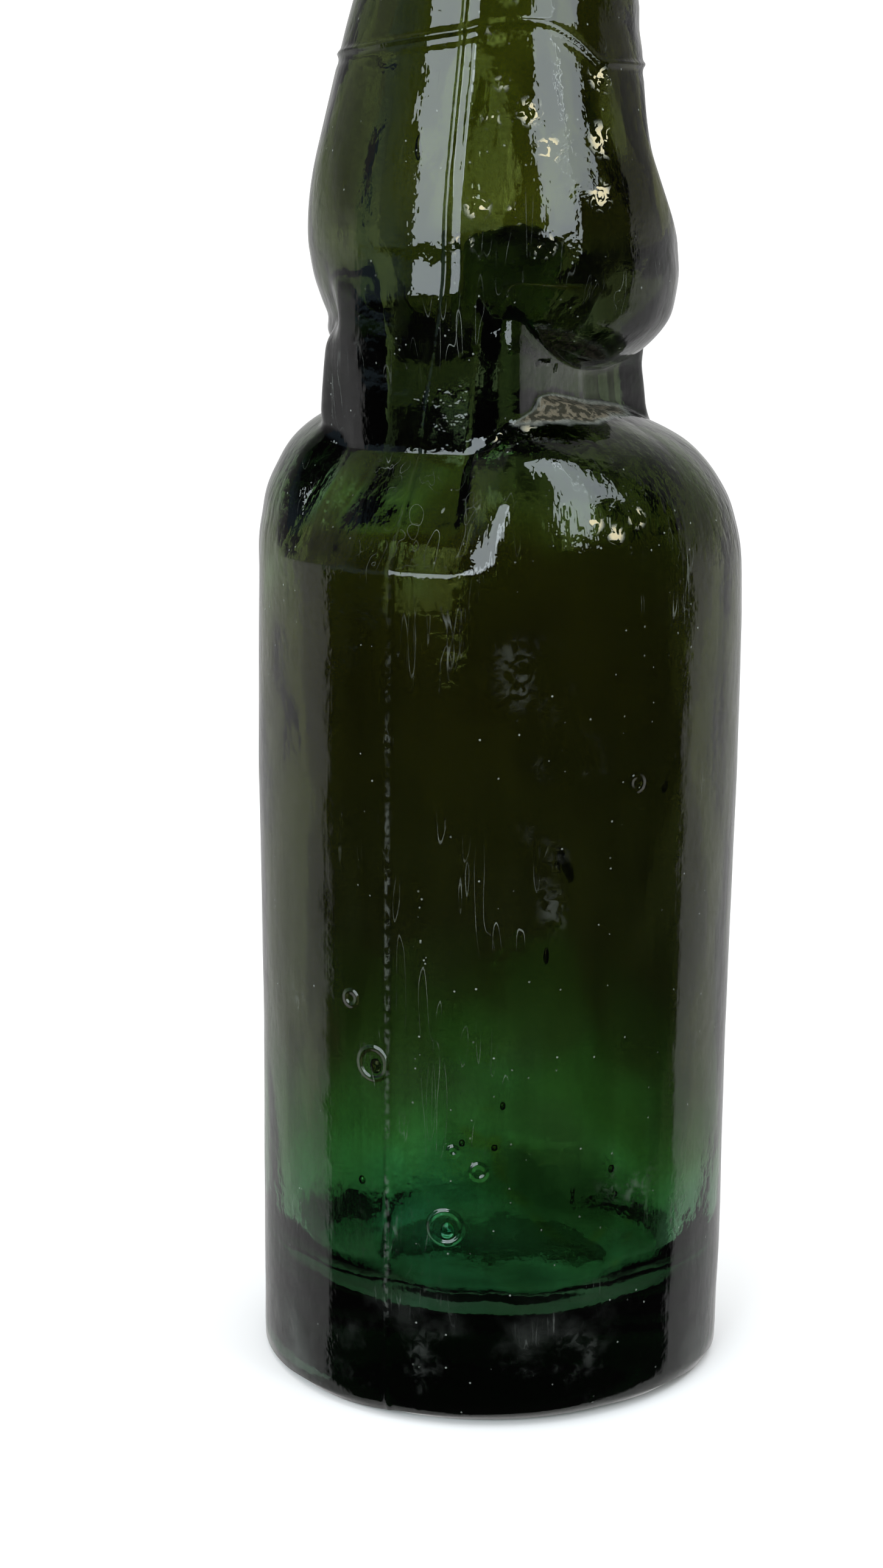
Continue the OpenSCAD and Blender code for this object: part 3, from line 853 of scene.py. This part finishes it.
tool_lines = 0.03 * np.sin(z * 7.5 + 0.4 * np.sin(turns))
r += worked * (tool_lines + 0.12 * np.cos(2 * turns + 0.7) - 0.12)
r += worked * ripple(turns, z, 8, 18, 0.12, 2.0)
lean_top = ease(z, 217, 221) * (0.16 * np.cos(turns + 2) - 0.16)
z += lean_top + worked * (1 - ease(z, 205, 208)) * 0.25 * np.cos(3 * turns)
lip = ring_mesh("laid_on_lip", r, z, turns)
lip_glass = bottle_glass.copy()
lip_glass.name = "lip_glass"
lip.data.materials.append(lip_glass)
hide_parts("applied_lip")
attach(lip, "glass")


# The sealing ring is red-brown rubber, moulded in two halves and sprung into the groove of the lip.
# Age has dulled and bloomed it, and the mould left a fine line round the middle of its bore.
RING_IN, RING_OUT = 6.2, 10.5
RING_FOOT, RING_HIGH = GROOVE_Z + 0.03, 5.15
RING_TOP = RING_FOOT + RING_HIGH
MOULD_LINE = 0.09
ring_cut = closed_cut([(RING_IN + 0.5, RING_FOOT), (RING_OUT - 0.7, RING_FOOT), (RING_OUT, RING_FOOT + 0.9),
                       (RING_OUT, RING_TOP - 0.9), (RING_OUT - 0.7, RING_TOP),
                       (RING_IN + 0.7, RING_TOP), (RING_IN, RING_TOP - 0.9),
                       (RING_IN, RING_FOOT + 0.6)], 64, 0.22)
turns = np.linspace(0, 2 * math.pi, 120, endpoint=False)[:, None]
r, z = ring_cut[None, :, 0] + 0 * turns, ring_cut[None, :, 1] + 0 * turns
flash = np.exp(-((z - RING_FOOT - RING_HIGH / 2) / 0.12) ** 2)
r -= (r < 8) * MOULD_LINE * flash * (1 + 0.4 * np.cos(7 * turns))
z += ripple(turns, z, 12, 10, 0.05, 2.0) * ease(z, RING_FOOT + 2, RING_FOOT + 5)
seal = ring_mesh("moulded_ring", r, z, turns)
ring_rubber, tree, bsdf = new_material("ring_rubber")
bsdf.inputs["Specular IOR Level"].default_value = 0.35
grain = cloudy(tree, tree.nodes.new("ShaderNodeTexCoord").outputs["Object"], 900, 4).outputs["Fac"]
bloom = thresholded(tree, grain, 0.45, 0.7)
tree.links.new(laid_over(tree, (0.15, 0.042, 0.025), (0.24, 0.13, 0.09), bloom), bsdf.inputs["Base Color"])
tree.links.new(scaled(tree, bloom, 0.3, 0.5), bsdf.inputs["Roughness"])
bumped(tree, grain, 0.05)
seal.data.materials.append(ring_rubber)
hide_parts("rubber_ring")
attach(seal, "glass")


# The stopper is a loose ball of pale green glass, ground round and dulled by years of rolling in the chamber.
# It has a few seeds inside and one flat where it was cut from the rod.
MARBLE_R = 8.0
MARBLE_Z = (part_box("marble")[0].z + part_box("marble")[1].z) / 2 / MM
CUT_FLAT = 0.25
rise = np.linspace(-math.pi / 2, math.pi / 2, 72)[None]
around = np.linspace(0, 2 * math.pi, 96, endpoint=False)[:, None]
r = MARBLE_R - 0.04 * np.abs(np.cos(5 * around + 3 * rise)) * np.cos(rise)
x, y = r * np.cos(rise) * np.cos(around), r * np.cos(rise) * np.sin(around)
z = r * np.sin(rise) + 0 * around
x = np.minimum(x, MARBLE_R - CUT_FLAT)
ball_grid = np.stack([x, y, z + MARBLE_Z], -1)
# Each seed: turn from the photograph, height and distance from the middle, and width.
SEEDS = ((20, 4.0, 3.0, 0.5), (-50, -2.0, 4.5, 0.7), (110, 1.0, 2.0, 0.4), (200, -4.0, 3.0, 0.6),
         (-10, -3.0, 5.0, 0.5))
seeds = [small_bubble(alpha, h + MARBLE_Z, off, w, w * 1.3, w) for alpha, h, off, w in SEEDS]
ball = turned_mesh("glass_ball", ball_grid, seeds)
marble_glass = glass_material("marble_glass", (0.86, 0.93, 0.82), (0.5, 0.72, 0.5), 60)
tree = marble_glass.node_tree
rubbing = cloudy(tree, tree.nodes.new("ShaderNodeTexCoord").outputs["Object"], 420, 5).outputs["Fac"]
ground = scaled(tree, thresholded(tree, rubbing, 0.35, 0.65), 0.25, 0.15)
tree.links.new(ground, tree.nodes["Principled BSDF"].inputs["Roughness"])
bumped(tree, rubbing, 0.03)
ball.data.materials.append(marble_glass)
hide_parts("marble")
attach(ball, "marble")


# The floor is a plain pale plane that glass and mirrors don't show, so the bottle mirrors the room alone.
# In mirrors and through glass the room is bright behind the bottle and dim in front, with a faint blue wall
# on the left. To everything else it is an even white light.
FLOOR_SIDE = 6.0
corners = np.array([(-FLOOR_SIDE, -FLOOR_SIDE, 0), (FLOOR_SIDE, -FLOOR_SIDE, 0),
                    (FLOOR_SIDE, FLOOR_SIDE, 0), (-FLOOR_SIDE, FLOOR_SIDE, 0)])
floor = new_piece("floor", corners, [(0, 1, 2, 3)])


def mirrored_rays(tree):
    """1 for what is seen in a mirror or through glass."""
    path = tree.nodes.new("ShaderNodeLightPath")
    return combined(tree, "MAXIMUM", path.outputs["Is Glossy Ray"], path.outputs["Is Transmission Ray"])


pale_floor, tree, bsdf = new_material("pale_floor")
bsdf.inputs["Base Color"].default_value = (0.9, 0.9, 0.9, 1)
bsdf.inputs["Roughness"].default_value = 0.9
bsdf.inputs["Specular IOR Level"].default_value = 0.0
clear = tree.nodes.new("ShaderNodeBsdfTransparent")
mix = tree.nodes.new("ShaderNodeMixShader")
tree.links.new(mirrored_rays(tree), mix.inputs[0])
tree.links.new(bsdf.outputs[0], mix.inputs[1])
tree.links.new(clear.outputs[0], mix.inputs[2])
tree.links.new(mix.outputs[0], tree.nodes["Material Output"].inputs["Surface"])
floor.data.materials.append(pale_floor)

# The way from the bottle to the camera, and the way to the camera's right.
toward = Vector((math.cos(PHOTO_TURN), math.sin(PHOTO_TURN), 0))
aside = Vector((-toward.y, toward.x, 0))

world = bpy.data.worlds.new("room")
bpy.context.scene.world = world
world.use_nodes = True
tree = world.node_tree
background = tree.nodes["Background"]
mirrored = mirrored_rays(tree)
around_room = tree.nodes.new("ShaderNodeTexCoord").outputs["Generated"]
ROOM_TURN = math.radians(5.5)
ROOM_BACK, ROOM_LEAST, ROOM_LIGHT = 0.52, 0.018, 1.25
to_front = seen_along(tree, around_room, toward * math.cos(ROOM_TURN) + aside * math.sin(ROOM_TURN))
to_side = seen_along(tree, around_room, aside)
to_top = seen_along(tree, around_room, (0, 0, 1))
behind = thresholded(tree, to_front, -0.02, -0.12)
beside = thresholded(tree, combined(tree, "ABSOLUTE", to_side, 0), 0.35, 0.75)
dim_side = product(tree, beside, thresholded(tree, to_top, -0.14, 0.25), 0.62)
dim_top = product(tree, thresholded(tree, to_top, 0.2, 0.7), 0.5)
dim_floor = product(tree, thresholded(tree, to_top, -0.35, -0.75), 0.2)
level = product(tree, behind, ROOM_BACK)
for dim in (dim_side, dim_top, dim_floor):
    level = product(tree, level, combined(tree, "SUBTRACT", 1.0, dim))
level = combined(tree, "ADD", level, ROOM_LEAST)
seen = tree.nodes.new("ShaderNodeMix")
seen.data_type = "FLOAT"
seen.inputs[2].default_value = ROOM_LIGHT
tree.links.new(mirrored, seen.inputs[0])
tree.links.new(level, seen.inputs[3])
tree.links.new(seen.outputs[0], background.inputs["Strength"])
background.inputs["Color"].default_value = (1, 1, 1, 1)
left_wall = product(tree, thresholded(tree, to_side, -0.72, -0.93), thresholded(tree, to_top, -0.13, -0.07))
blue = product(tree, left_wall, combined(tree, "SUBTRACT", 1.0, behind), mirrored, 0.22)
blue_wall = tree.nodes.new("ShaderNodeBackground")
blue_wall.inputs["Color"].default_value = (0.55, 0.80, 1, 1)
tree.links.new(blue, blue_wall.inputs["Strength"])
room = tree.nodes.new("ShaderNodeAddShader")
tree.links.new(background.outputs[0], room.inputs[0])
tree.links.new(blue_wall.outputs[0], room.inputs[1])
tree.links.new(room.outputs[0], tree.nodes["World Output"].inputs["Surface"])


# Two soft windows stand in front of the bottle, each in two panes of pale blue daylight: a tall one far off
# on the left, and a small one close by on the right. Each pane gives azimuth, distance and height of the two
# ends of its lower edge and of the middle of its upper edge, then its strength.
WINDOW_COLOUR = (0.84, 0.94, 1.0)
WINDOWS = (
    ("left_window", ((-51, 2.5, -0.04), (-20, 2.5, -0.04), (-34, 1.7, 1.36)), 5.5),
    ("left_window_top", ((-22, 1.6, 0.5), (-12, 1.6, 0.5), (-17, 1.35, 0.95)), 5.0),
    ("right_window", ((30, 0.15, 0.151), (47, 0.15, 0.151), (39, 0.12, 0.40)), 5.2),
    ("right_window_top", ((47, 0.15, 0.190), (66, 0.15, 0.190), (57, 0.12, 0.36)), 4.2))


def soft_window(name, corners, strength):
    """A flat soft light between the two ends of its lower edge and the middle of its upper edge."""
    points = []
    for azimuth, distance, z in corners:
        a = math.radians(azimuth)
        points.append((toward * math.cos(a) + aside * math.sin(a)) * distance + Vector((0, 0, z)))
    low_left, low_right, high = points
    across = low_right - low_left
    low = (low_left + low_right) / 2
    rise = high - low
    rise -= across * (rise.dot(across) / across.dot(across))
    light = bpy.data.lights.new(name, "AREA")
    light.shape = "RECTANGLE"
    light.size, light.size_y = across.length, rise.length
    light.energy = strength * math.pi * across.length * rise.length
    light.color = WINDOW_COLOUR
    lamp = bpy.data.objects.new(name, light)
    lamp.location = low + rise / 2
    x, y = across.normalized(), rise.normalized()
    lamp.rotation_euler = Matrix((x, y, x.cross(y))).transposed().to_euler()
    lamp.visible_camera = False
    bpy.context.scene.collection.objects.link(lamp)


for pane in WINDOWS:
    soft_window(*pane)


# The camera stands where the photograph was taken, at the height of the chamber and looking down a little.
# Its lens gives the photograph's frame of 1450 by 2576, and its place and turn were fitted to the outline.
DISTANCE, HEIGHT = 342.3, 151.7
LOOK_DOWN, LOOK_ASIDE, TILT = math.radians(12.33), math.radians(-1.22), math.radians(0.46)
FOCAL_PX, LONG_PX = 4365.0, 2576.0
SENSOR = 36.0
camera_data = bpy.data.cameras.new("photo_camera")
camera_data.sensor_width = SENSOR
camera_data.lens = FOCAL_PX * SENSOR / LONG_PX
camera_data.clip_start, camera_data.clip_end = 0.01, 50
camera = bpy.data.objects.new("photo_camera", camera_data)
bpy.context.scene.collection.objects.link(camera)
bpy.context.scene.camera = camera
ahead, right, up = -toward, aside, Vector((0, 0, 1))
fwd = ahead * math.cos(LOOK_ASIDE) + right * math.sin(LOOK_ASIDE)
side = right * math.cos(LOOK_ASIDE) - ahead * math.sin(LOOK_ASIDE)
look = fwd * math.cos(LOOK_DOWN) - up * math.sin(LOOK_DOWN)
head = up * math.cos(LOOK_DOWN) + fwd * math.sin(LOOK_DOWN)
x_axis = side * math.cos(TILT) + head * math.sin(TILT)
y_axis = head * math.cos(TILT) - side * math.sin(TILT)
camera.matrix_world = Matrix((
    (x_axis.x, y_axis.x, -look.x, toward.x * DISTANCE * MM),
    (x_axis.y, y_axis.y, -look.y, toward.y * DISTANCE * MM),
    (x_axis.z, y_axis.z, -look.z, HEIGHT * MM),
    (0, 0, 0, 1)))
bpy.context.scene.view_settings.view_transform = "Standard"
